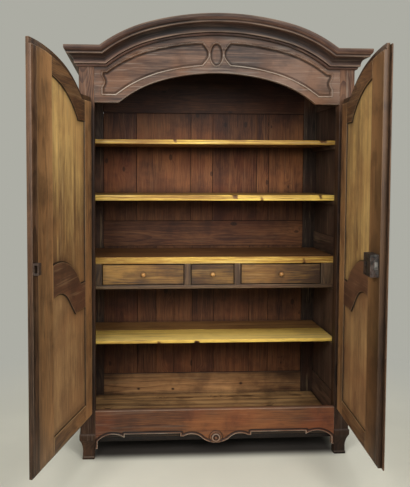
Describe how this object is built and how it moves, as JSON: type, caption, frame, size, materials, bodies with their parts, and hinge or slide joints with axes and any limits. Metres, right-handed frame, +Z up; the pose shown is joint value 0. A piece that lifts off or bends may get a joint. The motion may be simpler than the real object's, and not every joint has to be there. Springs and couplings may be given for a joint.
{
  "type": "armoire",
  "caption": "Two-door provincial armoire with arched crown moulding, shelves, small inner drawers, scalloped apron and short scrolled feet; doors swing open on pin hinges.",
  "frame": {"origin": "on the floor, in the middle of the width, in the plane of the carcass front", "axes": "+X to the right seen from the front, +Y from the front towards the back, +Z up"},
  "size_m": [1.6471, 1.2935, 2.3083],
  "materials": {
    "crown_wood": "dark waxed walnut, worn pale on its edges",
    "frame_wood": "brown waxed walnut",
    "apron_wood": "reddish waxed walnut with a worn moulded edge",
    "side_panel_wood": "brown waxed walnut",
    "back_wood": "aged unpolished boards",
    "shelf_wood": "bare straw-coloured boards with worn front edges",
    "case_wood": "bare boards, darkened",
    "plain_wood": "bare boards",
    "drawer_wood": "oiled wood",
    "knob_wood": "pale turned wood",
    "door_wood": "waxed walnut",
    "panel_wood": "ochre board, waxed outside",
    "forged_iron": "dark forged iron",
    "bolt_steel": "worn steel",
    "escutcheon_brass": "tarnished brass"
  },
  "bodies": {
    "carcass": {"apron_rail": "apron_wood", "back_boards_lower": "back_wood", "back_boards_upper": "back_wood", "back_rails": "back_wood", "cornice_front": "crown_wood", "cornice_returns": "crown_wood", "drawer_case_floor": "case_wood", "drawer_case_uprights": "case_wood", "drawer_guides": "plain_wood", "floor_boards": "shelf_wood", "frieze_rail": "frame_wood", "front_post_left": "frame_wood", "front_post_right": "frame_wood", "hinge_pintles": "forged_iron", "lower_shelf": "shelf_wood", "middle_shelf": "shelf_wood", "rear_post_left": "frame_wood", "rear_post_right": "frame_wood", "shelf_bearers": "plain_wood", "side_panels_left": "side_panel_wood", "side_panels_right": "side_panel_wood", "side_rails_left": "frame_wood", "side_rails_right": "frame_wood", "top_boards": "plain_wood", "top_shelf": "shelf_wood", "upper_shelf": "shelf_wood"},
    "left_door": {"centre_strip": "door_wood", "left_bottom_rail": "door_wood", "left_free_stile": "door_wood", "left_hinge_sockets": "forged_iron", "left_hinge_stile": "door_wood", "left_lower_panel": "panel_wood", "left_middle_rail": "door_wood", "left_top_rail": "door_wood", "left_upper_panel": "panel_wood", "lock_keeper": "forged_iron"},
    "right_door": {"astragal": "door_wood", "escutcheon": "escutcheon_brass", "lock_case": "forged_iron", "right_bottom_rail": "door_wood", "right_free_stile": "door_wood", "right_hinge_sockets": "forged_iron", "right_hinge_stile": "door_wood", "right_lower_panel": "panel_wood", "right_middle_rail": "door_wood", "right_top_rail": "door_wood", "right_upper_panel": "panel_wood"},
    "bolt": {"lock_bolt": "bolt_steel"},
    "left_drawer": {"left_drawer_bottom": "plain_wood", "left_drawer_front": "drawer_wood", "left_drawer_knob": "knob_wood", "left_drawer_tray": "plain_wood"},
    "centre_drawer": {"centre_drawer_bottom": "plain_wood", "centre_drawer_front": "drawer_wood", "centre_drawer_knob": "knob_wood", "centre_drawer_tray": "plain_wood"},
    "right_drawer": {"right_drawer_bottom": "plain_wood", "right_drawer_front": "drawer_wood", "right_drawer_knob": "knob_wood", "right_drawer_tray": "plain_wood"}
  },
  "joints": [
    {"name": "left_door_hinge", "type": "hinge", "parent": "carcass", "child": "left_door", "pos_m": [-0.658, -0.008, 1.04], "axis": [0, 0, -1], "range_deg": [-107, 63]},
    {"name": "right_door_hinge", "type": "hinge", "parent": "carcass", "child": "right_door", "pos_m": [0.658, -0.008, 1.04], "axis": [0, 0, 1], "range_deg": [-86, 84]},
    {"name": "lock_bolt_slide", "type": "slide", "parent": "right_door", "child": "bolt", "axis": [-0.0698, -0.9976, 0], "range_m": [0, 0.022]},
    {"name": "left_drawer_slide", "type": "slide", "parent": "carcass", "child": "left_drawer", "axis": [0, -1, 0], "range_m": [0, 0.27]},
    {"name": "centre_drawer_slide", "type": "slide", "parent": "carcass", "child": "centre_drawer", "axis": [0, -1, 0], "range_m": [0, 0.27]},
    {"name": "right_drawer_slide", "type": "slide", "parent": "carcass", "child": "right_drawer", "axis": [0, -1, 0], "range_m": [0, 0.27]}
  ]
}
